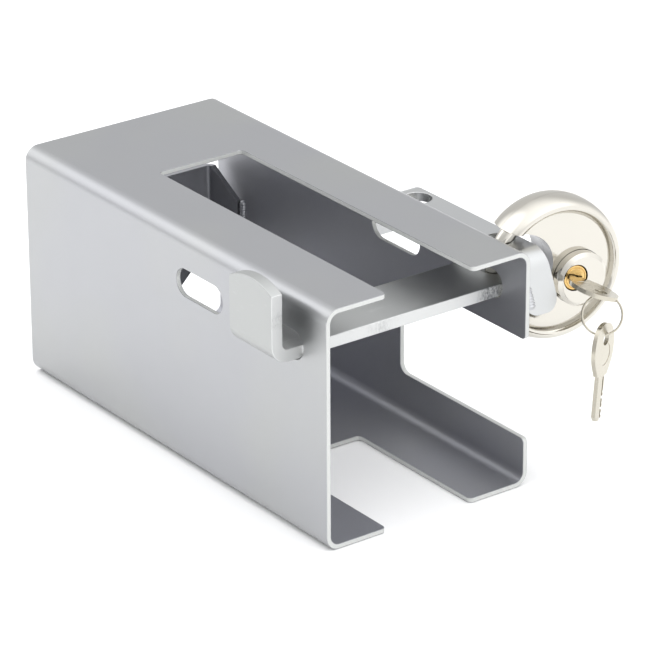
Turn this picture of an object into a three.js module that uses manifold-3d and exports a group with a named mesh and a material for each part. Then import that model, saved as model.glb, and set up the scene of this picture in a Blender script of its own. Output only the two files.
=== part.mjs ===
// Trailer coupler lock: a folded steel box that slips over a coupler, a bar through the box and
// a round padlock that holds the bar to a bracket. Millimetres, +X to the padlock side,
// +Y to the closed rear end, +Z up, origin on the underside at the middle of the box.
import * as THREE from 'three';
import { mergeVertices } from 'three/addons/utils/BufferGeometryUtils.js';
import Module from 'manifold-3d';

const wasm = await Module();
wasm.setup();

// ---- driving dimensions -------------------------------------------------------------------

const BOX = { width: 114, height: 117, length: 241, sheet: 2.4, bend: 7 };
const FRONT = -BOX.length / 2;
const REAR = BOX.length / 2;
const WALL = BOX.width / 2;

const TOP_SLOT = { width: 47.8, length: 176.6, corner: 2.5 };
const FLOOR_SLOT = { width: 47.6, length: 83.7, corner: 3 };
const SIDE_WINDOW = { length: 92.6, bottom: 23.5, top: 73, corner: 5 };
const MOUTH_RADIUS = 2.5;

const BAR_SLOT = { length: 36.6, height: 13.8, middle: 93 };
const FRONT_STATION = -85.4;
const REAR_STATION = -24;

const BAR = { width: 32, thick: 6, outerBend: 9, headFace: -72.3, end: 77.5, peak: 125.4 };
const BAR_BOTTOM = BAR_SLOT.middle - 4.9;
const BAR_CROWN_RADIUS = 32.6;
const BAR_HOLE = { x: 64.8, radius: 7 };

const BRACKET = { top: 107.7, thick: 4.6, reach: 19.6, frontBend: -99.4, rearBend: -15.8 };
const BRACKET_BEND = { radius: 12.4, angle: THREE.MathUtils.degToRad(66) };
const BRACKET_HOLE = { x: 67.4, radius: 6.95 };
const BRACKET_FOOT = { z: 82.2, corner: 7.5 };

const STOP = { top: 83.5, bottom: 18.6, sheet: 2.4, bend: 4, halfWidth: 49.9, depth: 20.5, chamfer: 24.9 };
const STOP_FLARE = THREE.MathUtils.degToRad(16);

const FOOT_BEAD = { radius: 3.3, length: 6, standOff: 1.6 };
const SEAM_BEAD = { radius: 2.6, length: 13, standOff: 0.7 };
const STOP_BEAD = { radius: 2.2, length: 8, standOff: 0.2 };

const LOCK_PLACE = { x: 91.9, y: -90.9, z: 90.7, yaw: -8, roll: 13 };
const DISC = {
  radius: 35, half: 10.8, wall: 1.5, crest: 31, crease: 27.8, creaseFace: 7.8, face: 8.2, seam: 0.05,
};
const NOTCH = { radius: 16.9, x: -19.9 };
const BOSS = { x: 11.9, radius: 13.1, face: 11.3, faceY: -13.9, bevelY: -12.4 };
const BOSS_SKIRT = { radius: 11.6, shelfY: -10.8, footY: -6.9 };
const CORE_TURN = 12; // the boss, plug and key lie on a line turned this far from the notch's
const CYLINDER = { radius: 11.3, front: -10.6, back: 4.4 };
const PLUG = { x: 7.06, radius: 6, front: -13.6, back: 4.7, bore: 6.4 };
const PIN = { angle: THREE.MathUtils.degToRad(4), radius: 0.9, chamber: 1.2, count: 5 };
const PIN_FIRST = -9;
const PIN_PITCH = 2.6;
const CORE = { hub: 24.8, front: -6.5, back: 4.6, gap: 0.15, rivet: 1.5 };
const SHACKLE = { ring: 29.5, wire: 4, tunnel: 4.4, tip: 125, tail: 285 };
const DRIVE = { arm: 9, pin: 1.2, camFront: 5, camBack: 6.4, plateFront: 6.8, plateBack: 8.2 };
const POST = { radius: 1.5, ring: 26.8, angle: -75 };

const KEY = { thick: 2, blade: 21, inserted: 18, belly: -4, crest: 3.1, bow: 24.8, bowWidth: 22 };
const KEY_HOLE = { x: 0.8, y: -17.2, radius: 3 };
const HOOKED = { x: 2.6, y: -18.2 };
const HUNG = { x: 0.6, y: -18.9 };
const RING = { radius: 9.2, wire: 0.55, pitch: 1.15, clear: 0.5, yaw: -36, pitchDown: -24, hang: 7 };
const SPARE = { yaw: 27, pitch: -1, lean: 12.6, hang: 174 };

// ---- finishes -----------------------------------------------------------------------------

const finish = (color, roughness, metalness) =>
  new THREE.MeshStandardMaterial({ color, roughness, metalness });
const ZINC = finish(0xb4b6ba, 0.42, 0.85);
const GALVANISED = finish(0xa9acae, 0.55, 0.8);
const WELD = finish(0x8f9193, 0.5, 0.8);
const STAINLESS = finish(0xeee8dc, 0.16, 1);
const STEEL = finish(0x8d8f92, 0.35, 1);
const BRASS = finish(0xd9a94f, 0.3, 1);
const NICKEL = finish(0xcdc5b4, 0.25, 1);

// ---- solids and booleans ------------------------------------------------------------------

function toSolid(geometry) {
  const bare = geometry.clone();
  bare.deleteAttribute('normal');
  bare.deleteAttribute('uv');
  const merged = mergeVertices(bare, 1e-4);
  const triVerts = new Uint32Array(merged.index.array);
  const vertProperties = new Float32Array(merged.attributes.position.array);
  const solid = new wasm.Manifold(new wasm.Mesh({ numProp: 3, vertProperties, triVerts }));
  if (solid.volume() > 0) return solid;
  for (let i = 0; i < triVerts.length; i += 3) {
    [triVerts[i], triVerts[i + 1]] = [triVerts[i + 1], triVerts[i]];
  }
  return new wasm.Manifold(new wasm.Mesh({ numProp: 3, vertProperties, triVerts }));
}

function toGeometry(solid) {
  const mesh = solid.getMesh();
  const geometry = new THREE.BufferGeometry();
  geometry.setAttribute('position', new THREE.BufferAttribute(mesh.vertProperties, 3));
  geometry.setIndex(new THREE.BufferAttribute(mesh.triVerts, 1));
  geometry.computeVertexNormals();
  return geometry;
}

const cut = (body, ...tools) => tools.reduce((left, tool) => left.subtract(tool), body);
const join = (first, ...rest) => rest.reduce((sum, part) => sum.add(part), first);

function node(name, solid, material) {
  const mesh = new THREE.Mesh(toGeometry(solid), material);
  mesh.name = name;
  return mesh;
}

// Prisms run along one axis between two stations. Their outlines are drawn in (x, y) for Z,
// (x, z) for Y and (y, z) for X.
function prism(axis, shape, from, to, curveSegments = 6) {
  const geometry = new THREE.ExtrudeGeometry(shape, {
    depth: to - from, bevelEnabled: false, curveSegments,
  });
  const turn = new THREE.Matrix4();
  if (axis === 'x') turn.set(0, 0, 1, from, 1, 0, 0, 0, 0, 1, 0, 0, 0, 0, 0, 1);
  if (axis === 'y') turn.set(1, 0, 0, 0, 0, 0, -1, to, 0, 1, 0, 0, 0, 0, 0, 1);
  if (axis === 'z') turn.makeTranslation(0, 0, from);
  return toSolid(geometry.applyMatrix4(turn));
}

function rod(axis, u, v, radius, from, to, sides = 24) {
  return prism(axis, circle(u, v, radius), from, to, sides);
}

function spin(points, sides = 64) {
  const profile = points.map(([r, y]) => new THREE.Vector2(r, y));
  return toSolid(new THREE.LatheGeometry(profile, sides));
}

function circle(u, v, radius) {
  const shape = new THREE.Shape();
  shape.absarc(u, v, radius, 0, 2 * Math.PI, false);
  return shape;
}

function box(u0, v0, u1, v1, radius = 0) {
  const shape = new THREE.Shape();
  if (radius === 0) {
    shape.moveTo(u0, v0).lineTo(u1, v0).lineTo(u1, v1).lineTo(u0, v1);
    return shape;
  }
  shape.absarc(u1 - radius, v0 + radius, radius, -Math.PI / 2, 0, false);
  shape.absarc(u1 - radius, v1 - radius, radius, 0, Math.PI / 2, false);
  shape.absarc(u0 + radius, v1 - radius, radius, Math.PI / 2, Math.PI, false);
  shape.absarc(u0 + radius, v0 + radius, radius, Math.PI, 1.5 * Math.PI, false);
  return shape;
}

// A slot that opens at u = mouth and runs to u = end: round inside corners and eased lips.
function openSlot(mouth, end, v0, v1, corner) {
  const lip = MOUTH_RADIUS;
  const outside = mouth - 20;
  const shape = new THREE.Shape();
  shape.moveTo(outside, v0 - lip);
  shape.lineTo(mouth, v0 - lip);
  shape.absarc(mouth + lip, v0 - lip, lip, Math.PI, Math.PI / 2, true);
  shape.absarc(end - corner, v0 + corner, corner, -Math.PI / 2, 0, false);
  shape.absarc(end - corner, v1 - corner, corner, 0, Math.PI / 2, false);
  shape.absarc(mouth + lip, v1 + lip, lip, -Math.PI / 2, Math.PI, true);
  shape.lineTo(outside, v1 + lip);
  return shape;
}

function obround(u, v, length, height) {
  const radius = height / 2;
  const reach = length / 2 - radius;
  const shape = new THREE.Shape();
  shape.absarc(u + reach, v, radius, -Math.PI / 2, Math.PI / 2, false);
  shape.absarc(u - reach, v, radius, Math.PI / 2, 1.5 * Math.PI, false);
  return shape;
}

class ArcPath extends THREE.Curve {
  constructor(radius, fromDegrees, toDegrees, rise = 0) {
    super();
    Object.assign(this, { radius, fromDegrees, toDegrees, rise });
  }

  getPoint(t, target = new THREE.Vector3()) {
    const angle = THREE.MathUtils.degToRad(THREE.MathUtils.lerp(this.fromDegrees, this.toDegrees, t));
    const lift = this.rise * (t - 0.5);
    return target.set(this.radius * Math.cos(angle), lift, this.radius * Math.sin(angle));
  }
}

function tube(path, radius, sides, steps) {
  const section = new THREE.Shape();
  for (let i = 0; i < sides; i++) {
    const angle = (2 * Math.PI * i) / sides;
    section[i === 0 ? 'moveTo' : 'lineTo'](radius * Math.cos(angle), radius * Math.sin(angle));
  }
  return toSolid(new THREE.ExtrudeGeometry(section, { steps, extrudePath: path, bevelEnabled: false }));
}

function wholeRing(ringRadius, wireRadius, wireSides, ringSides) {
  const torus = new THREE.TorusGeometry(ringRadius, wireRadius, wireSides, ringSides);
  return toSolid(torus.rotateX(Math.PI / 2));
}

// ---- folded box ---------------------------------------------------------------------------

function buildHousing() {
  const { height, sheet, bend } = BOX;
  const section = box(-WALL, 0, WALL, height, bend);
  section.holes.push(box(-WALL + sheet, sheet, WALL - sheet, height - sheet, bend - sheet));
  const shell = prism('y', section, FRONT, REAR, 5);

  const lengthwise = (slot, from, to) => {
    const outline = openSlot(FRONT, FRONT + slot.length, -slot.width / 2, slot.width / 2, slot.corner);
    const turned = outline.getPoints(5).map((p) => new THREE.Vector2(p.y, p.x));
    return prism('z', new THREE.Shape(turned.reverse()), from, to);
  };
  const topSlot = lengthwise(TOP_SLOT, height - bend, height + 5);
  const floorSlot = lengthwise(FLOOR_SLOT, -5, bend);
  const window = openSlot(
    FRONT, FRONT + SIDE_WINDOW.length, SIDE_WINDOW.bottom, SIDE_WINDOW.top, SIDE_WINDOW.corner,
  );
  const sideWindow = prism('x', window, WALL - bend, WALL + 5, 5);
  const barSlots = [FRONT_STATION, REAR_STATION].map((y) =>
    prism('x', obround(y, BAR_SLOT.middle, BAR_SLOT.length, BAR_SLOT.height), -WALL - 5, WALL + 5, 9));
  return cut(shell, topSlot, floorSlot, sideWindow, ...barSlots);
}

// A plate across the rear end. Its two side flanges turn forward, flare out until their tips
// meet the walls, and are mitred above and below.
function buildRearStop() {
  const { sheet, bend, halfWidth, depth, top, bottom, chamfer } = STOP;
  const back = REAR - 0.4;
  const plateFront = back - bend;
  const reach = depth - bend;
  const right = { x: halfWidth - bend, y: back - bend };
  const tip = (radius) => ({
    x: right.x + radius * Math.cos(STOP_FLARE) + reach * Math.sin(STOP_FLARE),
    y: right.y + radius * Math.sin(STOP_FLARE) - reach * Math.cos(STOP_FLARE),
  });
  const [outer, inner] = [tip(bend), tip(bend - sheet)];
  const mirrored = Math.PI - STOP_FLARE;
  const plan = new THREE.Shape();
  plan.moveTo(-outer.x, outer.y);
  plan.absarc(-right.x, right.y, bend, mirrored, Math.PI / 2, true);
  plan.absarc(right.x, right.y, bend, Math.PI / 2, STOP_FLARE, true);
  plan.lineTo(outer.x, outer.y).lineTo(inner.x, inner.y);
  plan.absarc(right.x, right.y, bend - sheet, STOP_FLARE, Math.PI / 2, false);
  plan.absarc(-right.x, right.y, bend - sheet, Math.PI / 2, mirrored, false);
  plan.lineTo(-inner.x, inner.y);
  const folded = prism('z', plan, bottom, top, 4);

  const side = new THREE.Shape();
  side.moveTo(plateFront, bottom - 5).lineTo(REAR + 5, bottom - 5).lineTo(REAR + 5, top + 5);
  side.lineTo(plateFront, top + 5).lineTo(plateFront, top);
  side.lineTo(plateFront - reach - 2, top - reach - 2);
  side.lineTo(plateFront - reach - 2, bottom + chamfer + reach - 2);
  side.lineTo(plateFront, bottom + chamfer);
  const low = halfWidth - chamfer;
  const face = new THREE.Shape();
  face.moveTo(-low, bottom).lineTo(low, bottom).lineTo(low + 60, bottom + 60);
  face.lineTo(low + 60, top + 5).lineTo(-low - 60, top + 5).lineTo(-low - 60, bottom + 60);
  return folded.intersect(prism('x', side, -WALL, WALL)).intersect(prism('y', face, FRONT, REAR + 5));
}

// ---- bracket for the padlock --------------------------------------------------------------

function bracketOutline() {
  const { top, thick, frontBend, rearBend } = BRACKET;
  const { radius, angle } = BRACKET_BEND;
  const leg = 30;
  const foot = (bend, way, r) => new THREE.Vector2(
    bend + way * (r * Math.sin(angle) + leg * Math.cos(angle)),
    top - radius + r * Math.cos(angle) - leg * Math.sin(angle),
  );
  const inner = radius - thick;
  const mid = top - radius;
  const shape = new THREE.Shape();
  shape.moveTo(foot(frontBend, -1, radius).x, foot(frontBend, -1, radius).y);
  shape.absarc(frontBend, mid, radius, Math.PI / 2 + angle, Math.PI / 2, true);
  shape.absarc(rearBend, mid, radius, Math.PI / 2, Math.PI / 2 - angle, true);
  shape.lineTo(foot(rearBend, 1, radius).x, foot(rearBend, 1, radius).y);
  shape.lineTo(foot(rearBend, 1, inner).x, foot(rearBend, 1, inner).y);
  shape.absarc(rearBend, mid, inner, Math.PI / 2 - angle, Math.PI / 2, false);
  shape.absarc(frontBend, mid, inner, Math.PI / 2, Math.PI / 2 + angle, false);
  shape.lineTo(foot(frontBend, -1, inner).x, foot(frontBend, -1, inner).y);
  return shape;
}

function buildBracket() {
  const outer = WALL + BRACKET.reach;
  const strip = prism('x', bracketOutline(), WALL, outer, 8);
  const view = box(WALL, BRACKET_FOOT.z, outer, BRACKET.top + 20, BRACKET_FOOT.corner);
  const rounded = strip.intersect(prism('y', view, FRONT - 20, REAR, 6));
  const holes = [FRONT_STATION, REAR_STATION].map((y) =>
    rod('z', BRACKET_HOLE.x, y, BRACKET_HOLE.radius, BRACKET.top - 10, BRACKET.top + 5, 24));
  return cut(rounded, ...holes);
}

// A bead lies along a seam. Its core stands off the wall by less than the bead's own radius,
// and whatever of it runs into the plates is taken away.
function weldBead(bead, place, tilt, plates) {
  const capsule = new THREE.CapsuleGeometry(bead.radius, bead.length, 4, 10);
  capsule.rotateX(tilt);
  capsule.translate(place.x, place.y, place.z);
  return cut(toSolid(capsule), ...plates);
}

function buildWelds(housing, rearStop, bracket) {
  const plates = [housing, bracket];
  const foot = WALL + FOOT_BEAD.standOff;
  const lean = BRACKET_BEND.angle;
  const pieces = [
    node('bracket_weld_front', weldBead(FOOT_BEAD, { x: foot, y: -116, z: 91 }, lean, plates), WELD),
    node('bracket_weld_rear', weldBead(FOOT_BEAD, { x: foot, y: 0.9, z: 91 }, -lean, plates), WELD),
  ];
  for (const [name, y] of [['front', -84], ['middle', -55], ['rear', -27]]) {
    const place = { x: WALL + SEAM_BEAD.standOff, y, z: BRACKET.top };
    pieces.push(node(`bracket_weld_top_${name}`, weldBead(SEAM_BEAD, place, 0, plates), WELD));
  }
  const tipY = REAR - 0.4 - STOP.depth;
  const seatZ = (STOP.top + STOP.bottom + STOP.chamfer) / 2;
  for (const [side, name] of [[-1, 'left'], [1, 'right']]) {
    const place = { x: side * (WALL - BOX.sheet - STOP_BEAD.standOff), y: tipY - 0.6, z: seatZ };
    const solid = weldBead(STOP_BEAD, place, Math.PI / 2, [housing, rearStop]);
    pieces.push(node(`stop_weld_${name}`, solid, WELD));
  }
  return pieces;
}

// ---- locking bar --------------------------------------------------------------------------

function buildBar() {
  const { width, thick, outerBend, headFace, end, peak } = BAR;
  const low = BAR_BOTTOM;
  const centre = { x: headFace + outerBend, z: low + outerBend };
  const side = new THREE.Shape();
  side.moveTo(end, low).lineTo(end, low + thick);
  side.absarc(centre.x, centre.z, outerBend - thick, -Math.PI / 2, -Math.PI, true);
  side.lineTo(headFace + thick, peak);
  side.lineTo(headFace, peak);
  side.absarc(centre.x, centre.z, outerBend, Math.PI, 1.5 * Math.PI, false);
  const y0 = FRONT_STATION - width / 2;
  const y1 = FRONT_STATION + width / 2;
  const bent = prism('y', side, y0, y1, 6);

  const crownAngle = Math.asin(width / 2 / BAR_CROWN_RADIUS);
  const crown = new THREE.Shape();
  crown.moveTo(y0, low - 5).lineTo(y1, low - 5);
  crown.absarc(
    FRONT_STATION, peak - BAR_CROWN_RADIUS, BAR_CROWN_RADIUS,
    Math.PI / 2 - crownAngle, Math.PI / 2 + crownAngle, false,
  );
  const crowned = bent.intersect(prism('x', crown, headFace - 5, end + 5, 8));
  const plan = box(headFace - 20, y0, end, y1, 6);
  const rounded = crowned.intersect(prism('z', plan, low - 5, peak + 5, 4));
  const hole = rod('z', BAR_HOLE.x, FRONT_STATION, BAR_HOLE.radius, low - 5, low + 20);
  return cut(rounded, hole);
}

// ---- padlock, in its own frame: Y through the disc with the face at -Y, notch at -X --------

// Half of a shell's section. The front face is sunk inside a crease, and the back is plain.
function discProfile(offset, sunk) {
  const { radius, half, crest, crease, creaseFace, face, seam } = DISC;
  const rimTop = half - offset;
  const foot = crease + offset * 0.6;
  const pressed = [
    [0, offset - face],
    [crease - 4, offset - face],
    [foot, offset - creaseFace],
    [(foot + crest) / 2, offset - creaseFace - (half - creaseFace) * 0.75],
  ];
  const points = sunk ? pressed : [[0, -rimTop]];
  const rimWide = radius - offset - crest;
  for (let i = 0; i <= 6; i++) {
    const angle = (Math.PI / 2) * (i / 6);
    points.push([crest + rimWide * Math.sin(angle), -seam - (rimTop - seam) * Math.cos(angle)]);
  }
  return points;
}

const notchTool = (grow) => {
  const { radius, x } = NOTCH;
  const r = radius + grow;
  const shape = new THREE.Shape();
  shape.moveTo(x - 30, -r).lineTo(x, -r);
  shape.absarc(x, 0, r, -Math.PI / 2, Math.PI / 2, false);
  shape.lineTo(x - 30, r);
  return prism('y', shape, -30, 30, 20);
};

function halfShell(tunnel, sunk) {
  const outside = spin([...discProfile(0, sunk), [0, -DISC.seam]], 72);
  const innerProfile = discProfile(DISC.wall, sunk);
  innerProfile[innerProfile.length - 1][1] = 1;
  const hollow = spin([...innerProfile, [0, 1]], 72);
  const room = cut(hollow, notchTool(DISC.wall));
  return cut(outside, notchTool(0), room, tunnel);
}

const turned = (solid) => solid.rotate([0, CORE_TURN, 0]);

function buildPadlock() {
  const lock = new THREE.Group();
  const tunnel = wholeRing(SHACKLE.ring, SHACKLE.tunnel, 12, 56);
  const bossHole = turned(rod('y', BOSS.x, 0, BOSS.radius + 0.25, -20, -5, 32));
  const backShell = halfShell(tunnel, false).rotate([0, 0, 180]).rotate([0, 180, 0]);
  lock.add(node('padlock_front_shell', cut(halfShell(tunnel, true), bossHole), STAINLESS));
  lock.add(node('padlock_rear_shell', backShell, STAINLESS));

  const rivetPlaces = [[0, 20], [0, -20], [14, 16.5], [14, -16.5]];
  const rivetHoles = rivetPlaces.map(([x, z]) => rod('y', x, z, CORE.rivet + 0.25, -20, 20, 8));
  const cylinderBore = turned(rod('y', BOSS.x, 0, CYLINDER.radius + 0.3, -20, 20, 28));
  const notch = notchTool(DISC.wall + 0.3);
  const { hub, front, back, gap } = CORE;
  const frontCore = spin([
    [0, front], [22, front], [26, -6], [31.4, -6], [32.6, -3], [32.6, -gap], [0, -gap],
  ], 48);
  const rearCore = spin([[0, gap], [hub, gap], [hub, back], [0, back]], 48);
  const coreCuts = [notch, cylinderBore, ...rivetHoles];
  lock.add(node('padlock_core_front', cut(frontCore, tunnel, ...coreCuts), STEEL));
  lock.add(node('padlock_core_rear', cut(rearCore, tunnel, ...coreCuts), STEEL));
  rivetPlaces.forEach(([x, z], i) => {
    const shank = rod('y', x, z, CORE.rivet, front + 0.2, back + 0.2, 8);
    const head = rod('y', x, z, 2.4, back + 0.2, back + 1, 8);
    lock.add(node(`core_rivet_${i + 1}`, join(shank, head), STEEL));
  });

  lock.add(...buildCylinder());
  lock.add(...buildPlug());
  lock.add(...buildShackle());
  lock.add(buildKey());

  lock.position.set(LOCK_PLACE.x, LOCK_PLACE.y, LOCK_PLACE.z);
  const degrees = THREE.MathUtils.degToRad;
  lock.rotation.set(0, degrees(LOCK_PLACE.roll), degrees(LOCK_PLACE.yaw), 'ZYX');
  return lock;
}

// A short round bar along the line of the pins, at one pin's station.
function pinBar(y, radius, from, to, sides = 8) {
  const bar = new THREE.CylinderGeometry(radius, radius, to - from, sides);
  bar.rotateZ(-Math.PI / 2);
  bar.translate((from + to) / 2, 0, 0);
  bar.rotateY(-PIN.angle);
  bar.translate(PLUG.x, y, 0);
  return toSolid(bar);
}

const pinStations = Array.from({ length: PIN.count }, (_, i) => PIN_FIRST + i * PIN_PITCH);

function buildCylinder() {
  const { radius, face, faceY, bevelY } = BOSS;
  const { shelfY, footY } = BOSS_SKIRT;
  const skirt = [[0, shelfY], [BOSS_SKIRT.radius, shelfY], [BOSS_SKIRT.radius, footY], [radius, footY]];
  const cap = spin([...skirt, [radius, bevelY], [face, faceY], [0, faceY]], 40);
  const boss = cut(cap.translate([BOSS.x, 0, 0]), rod('y', PLUG.x, 0, PLUG.bore, -20, 0, 28));

  const barrel = rod('y', BOSS.x, 0, CYLINDER.radius, CYLINDER.front, CYLINDER.back, 28);
  const plugBore = rod('y', PLUG.x, 0, PLUG.bore, -20, 20, 28);
  const chambers = pinStations.map((y) => pinBar(y, PIN.chamber, 5, 14.2));
  const pieces = [
    node('padlock_boss', turned(boss), STAINLESS),
    node('lock_cylinder', turned(cut(barrel, plugBore, ...chambers)), BRASS),
  ];
  pinStations.forEach((y, i) => {
    pieces.push(node(`driver_pin_${i + 1}`, turned(pinBar(y, PIN.radius, 6.5, 9.6)), STEEL));
    const coil = cut(pinBar(y, PIN.radius, 9.7, 13.9), pinBar(y, 0.6, 9, 15, 6));
    pieces.push(node(`pin_spring_${i + 1}`, turned(coil), STEEL));
  });
  return pieces;
}

function keyway(grow) {
  const slot = new THREE.BoxGeometry(KEY.crest - KEY.belly + 2 * grow, 60, KEY.thick + 2 * grow);
  slot.translate((KEY.crest + KEY.belly) / 2, 0, 0);
  slot.rotateY(-PIN.angle);
  slot.translate(PLUG.x, 0, 0);
  return toSolid(slot);
}

function buildPlug() {
  const { x, radius, front, back } = PLUG;
  const chambers = pinStations.map((y) => pinBar(y, PIN.chamber, 2, 9));
  const plug = cut(rod('y', x, 0, radius, front, back, 28), keyway(0.3), ...chambers);
  const pieces = [node('plug', turned(plug), BRASS)];
  pinStations.forEach((y, i) => {
    pieces.push(node(`key_pin_${i + 1}`, turned(pinBar(y, PIN.radius, 3.45, 5.9)), BRASS));
  });

  const turn = THREE.MathUtils.degToRad(CORE_TURN);
  const [u, v] = [x * Math.cos(turn), -x * Math.sin(turn)];
  const disc = rod('y', u, v, radius, DRIVE.camFront, DRIVE.camBack, 20);
  const end = v - DRIVE.arm;
  const arm = prism('y', box(u - 2.2, end - 2.2, u + 2.2, v, 2), DRIVE.camFront, DRIVE.camBack, 3);
  const finger = rod('y', u, end, DRIVE.pin, DRIVE.camFront, DRIVE.plateBack + 0.4, 10);
  pieces.push(node('drive_cam', join(disc, arm, finger), STEEL));
  return pieces;
}

// The shackle swings in its tunnel round the middle of the disc. The drive plate is pinned to
// its tail, and the cam's finger runs in the plate's curved slot.
function buildShackle() {
  const { ring, wire, tip, tail } = SHACKLE;
  const degrees = THREE.MathUtils.degToRad;
  const bow = tube(new ArcPath(ring, tip, tail), wire, 12, 32);
  const postAngle = degrees(POST.angle);
  const at = [POST.ring * Math.cos(postAngle), POST.ring * Math.sin(postAngle)];
  const post = rod('y', ...at, POST.radius, 0, DRIVE.plateBack + 0.3, 10);

  const plate = new THREE.Shape();
  const [near, far, first, last] = [6, 28.6, degrees(-112), degrees(-36)];
  plate.absarc(0, 0, far, first, last, false);
  plate.absarc(0, 0, near, last, first, true);
  const slab = prism('y', plate, DRIVE.plateFront, DRIVE.plateBack, 12);

  const slot = new THREE.Shape();
  const half = DRIVE.pin + 0.4;
  const [from, to] = [degrees(-111 - CORE_TURN), degrees(12 - CORE_TURN)];
  slot.absarc(0, -DRIVE.arm, PLUG.x + half, from, to, false);
  slot.absarc(0, -DRIVE.arm, PLUG.x - half, to, from, true);
  const slotTool = prism('y', slot, 0, 20, 12);
  const postHole = rod('y', ...at, POST.radius + 0.2, 0, 20, 10);
  return [
    node('shackle', join(bow, post), STAINLESS),
    node('shackle_drive_plate', cut(slab, slotTool, postHole), STEEL),
  ];
}

// ---- keys and split ring ------------------------------------------------------------------

// Key outline with the shoulder at the origin: the blade runs to +y, the bow to -y.
function keyOutline() {
  const { blade, belly, crest, bow, bowWidth } = KEY;
  const half = bowWidth / 2;
  const shape = new THREE.Shape();
  shape.moveTo(belly, blade - 2);
  shape.lineTo(belly, 0).lineTo(-half * 0.55, -0.4);
  shape.bezierCurveTo(-half * 0.62, -3, -half, -6, -half, -bow * 0.5);
  shape.bezierCurveTo(-half, -bow * 0.85, -half * 0.6, -bow, 0, -bow);
  shape.bezierCurveTo(half * 0.6, -bow, half, -bow * 0.85, half, -bow * 0.5);
  shape.bezierCurveTo(half, -6, half * 0.62, -3, half * 0.5, -0.4);
  shape.lineTo(crest, 0);
  const cuts = [0.9, 1.7, 0.6, 1.4, 1];
  const shoulder = KEY.blade - KEY.inserted;
  cuts.forEach((depth, i) => {
    const y = shoulder + PIN_FIRST - PLUG.front + i * PIN_PITCH;
    shape.lineTo(crest, y - 1.1).lineTo(crest - depth, y - 0.3).lineTo(crest - depth, y + 0.3);
    shape.lineTo(crest, y + 1.1);
  });
  shape.lineTo(crest, blade - 1.6).lineTo(crest - 3, blade).lineTo(belly + 2, blade);
  return shape;
}

// The key lies in its own XY plane with the blade along +Y.
function keySolid(ringTool) {
  const outline = keyOutline();
  const blank = prism('z', outline, -KEY.thick / 2, KEY.thick / 2, 7);
  const hole = rod('z', KEY_HOLE.x, KEY_HOLE.y, KEY_HOLE.radius, -5, 5, 16);
  const groove = prism('z', box(-1.4, 0.5, 0.4, KEY.blade + 5), KEY.thick / 2 - 0.5, 5);
  return cut(blank, hole, groove, ringTool);
}

// Places of the pieces that hang on the padlock, worked out down the chain.
function hangingFrames() {
  const degrees = THREE.MathUtils.degToRad;
  const place = (x, y, z, rx, ry, rz, order) => {
    const euler = new THREE.Euler(degrees(rx), degrees(ry), degrees(rz), order);
    return new THREE.Matrix4().makeRotationFromEuler(euler).setPosition(x, y, z);
  };
  const { x, y, z, yaw, roll } = LOCK_PLACE;
  const lock = place(x, y, z, 0, roll, yaw, 'ZYX');
  const shoulderY = PLUG.front - (KEY.blade - KEY.inserted);
  const inPlug = place(PLUG.x, shoulderY, 0, 0, THREE.MathUtils.radToDeg(-PIN.angle), 0, 'XYZ');
  const key = place(0, 0, 0, 0, CORE_TURN, 0, 'XYZ').multiply(inPlug);
  const keyInWorld = lock.clone().multiply(key);

  const hooked = new THREE.Vector3(HOOKED.x, HOOKED.y, 0).applyMatrix4(keyInWorld);
  const ring = place(0, 0, 0, RING.pitchDown, 0, RING.yaw, 'ZXY');
  const onRing = (angle) => new THREE.Vector3(
    RING.radius * Math.sin(degrees(angle)), 0, RING.radius * Math.cos(degrees(angle)),
  ).applyMatrix4(ring);
  const centre = hooked.sub(onRing(RING.hang));
  ring.setPosition(centre);

  const lowest = onRing(SPARE.hang);
  const spare = place(0, 0, 0, SPARE.pitch, SPARE.lean, SPARE.yaw, 'ZXY');
  const standing = new THREE.Matrix4().makeRotationX(-Math.PI / 2);
  spare.multiply(standing);
  const offset = new THREE.Vector3(HUNG.x, HUNG.y, 0).applyMatrix4(spare);
  spare.setPosition(lowest.sub(offset));
  return { keyInLock: key, keyInWorld, ring, spare };
}

const FRAMES = hangingFrames();

// The room that the split ring needs, seen from another piece's frame.
function ringRoom(viewer) {
  const torus = new THREE.TorusGeometry(RING.radius, RING.wire + RING.pitch / 2 + RING.clear, 8, 40);
  torus.rotateX(Math.PI / 2);
  torus.applyMatrix4(FRAMES.ring);
  torus.applyMatrix4(viewer.clone().invert());
  return toSolid(torus);
}

function buildKey() {
  const key = node('key', keySolid(ringRoom(FRAMES.keyInWorld)), NICKEL);
  key.applyMatrix4(FRAMES.keyInLock);
  return key;
}

function buildRing() {
  const turns = 2;
  const path = new ArcPath(RING.radius, 0, 360 * turns - 16, RING.pitch * turns);
  const ring = node('key_ring', tube(path, RING.wire, 6, 72), NICKEL);
  ring.applyMatrix4(FRAMES.ring);
  return ring;
}

function buildSpareKey() {
  const spare = node('spare_key', keySolid(ringRoom(FRAMES.spare)), NICKEL);
  spare.applyMatrix4(FRAMES.spare);
  return spare;
}

// ---- the whole lock -----------------------------------------------------------------------

const housing = buildHousing();
const rearStop = buildRearStop();
const bracket = buildBracket();
const lockSet = new THREE.Group();
lockSet.add(node('housing', housing, ZINC));
lockSet.add(node('rear_stop', rearStop, ZINC));
lockSet.add(node('padlock_bracket', bracket, ZINC));
lockSet.add(...buildWelds(housing, rearStop, bracket));
lockSet.add(node('locking_bar', buildBar(), GALVANISED));
lockSet.add(buildPadlock(), buildRing(), buildSpareKey());

export default lockSet;
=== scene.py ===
"""Looks of the trailer coupler lock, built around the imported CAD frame.

Shapes are drawn in millimetres and scaled to metres as meshes are made. The box and everything
welded to it use the part's own frame: +X to the padlock side, +Y to the rear, +Z up. Padlock
pieces use the padlock's frame: Y through the disc with the face at -Y, the notch at -X.
"""

from math import asin, cos, hypot, pi, radians, sin, sqrt

import bmesh
import bpy
from mathutils import Matrix, Vector, noise


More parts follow.
